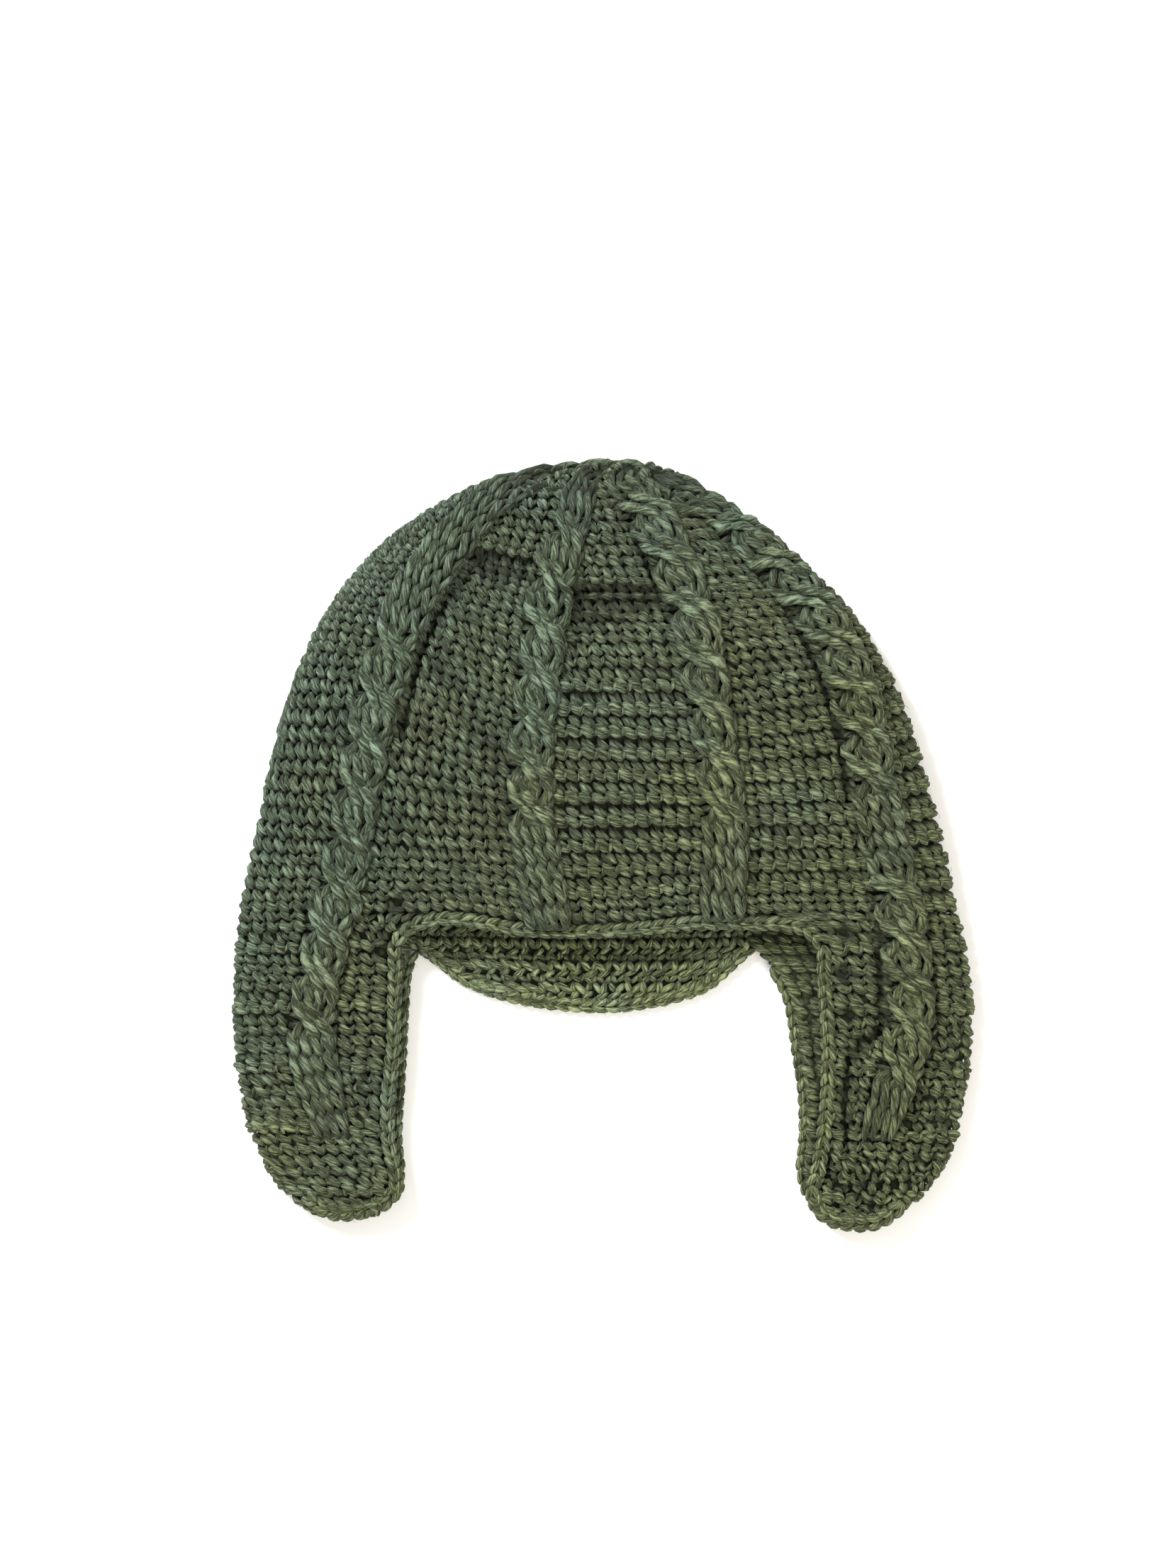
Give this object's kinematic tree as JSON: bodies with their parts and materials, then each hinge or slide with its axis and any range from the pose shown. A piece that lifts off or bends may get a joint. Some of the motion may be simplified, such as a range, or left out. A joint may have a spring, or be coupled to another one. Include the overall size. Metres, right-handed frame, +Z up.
{
  "type": "crocheted earflap cap with raised cables",
  "caption": "Soft crocheted winter cap with raised cables, folded earflaps and a short neck flap, lying flat on its back.",
  "frame": {"origin": "on the floor under the middle of the lying cap", "axes": "+Z up from the floor, +Y towards the top of the crown, +X to the right as seen from above; the mouth faces -Y"},
  "size_m": [0.2819, 0.2932, 0.0386],
  "materials": {
    "crochet_fabric": "matte crocheted wool-blend yarn, olive green",
    "cable_yarn": "matte plied wool-blend yarn, olive green",
    "edging_yarn": "matte plied wool-blend yarn, olive green"
  },
  "bodies": {
    "root": {"crown": "crochet_fabric", "cable_front_1": "cable_yarn", "cable_front_2": "cable_yarn", "cable_front_3": "cable_yarn", "cable_front_4": "cable_yarn", "cable_back_1": "cable_yarn", "cable_back_2": "cable_yarn", "cable_back_3": "cable_yarn", "cable_back_4": "cable_yarn", "earflap_left": "crochet_fabric", "earflap_right": "crochet_fabric", "flap_cable_left_front": "cable_yarn", "flap_cable_right_front": "cable_yarn", "flap_cable_left_back": "cable_yarn", "flap_cable_right_back": "cable_yarn", "neck_flap": "crochet_fabric", "edging_front": "edging_yarn", "edging_left_front": "edging_yarn", "edging_right_front": "edging_yarn", "edging_left_back": "edging_yarn", "edging_right_back": "edging_yarn"}
  },
  "joints": []
}
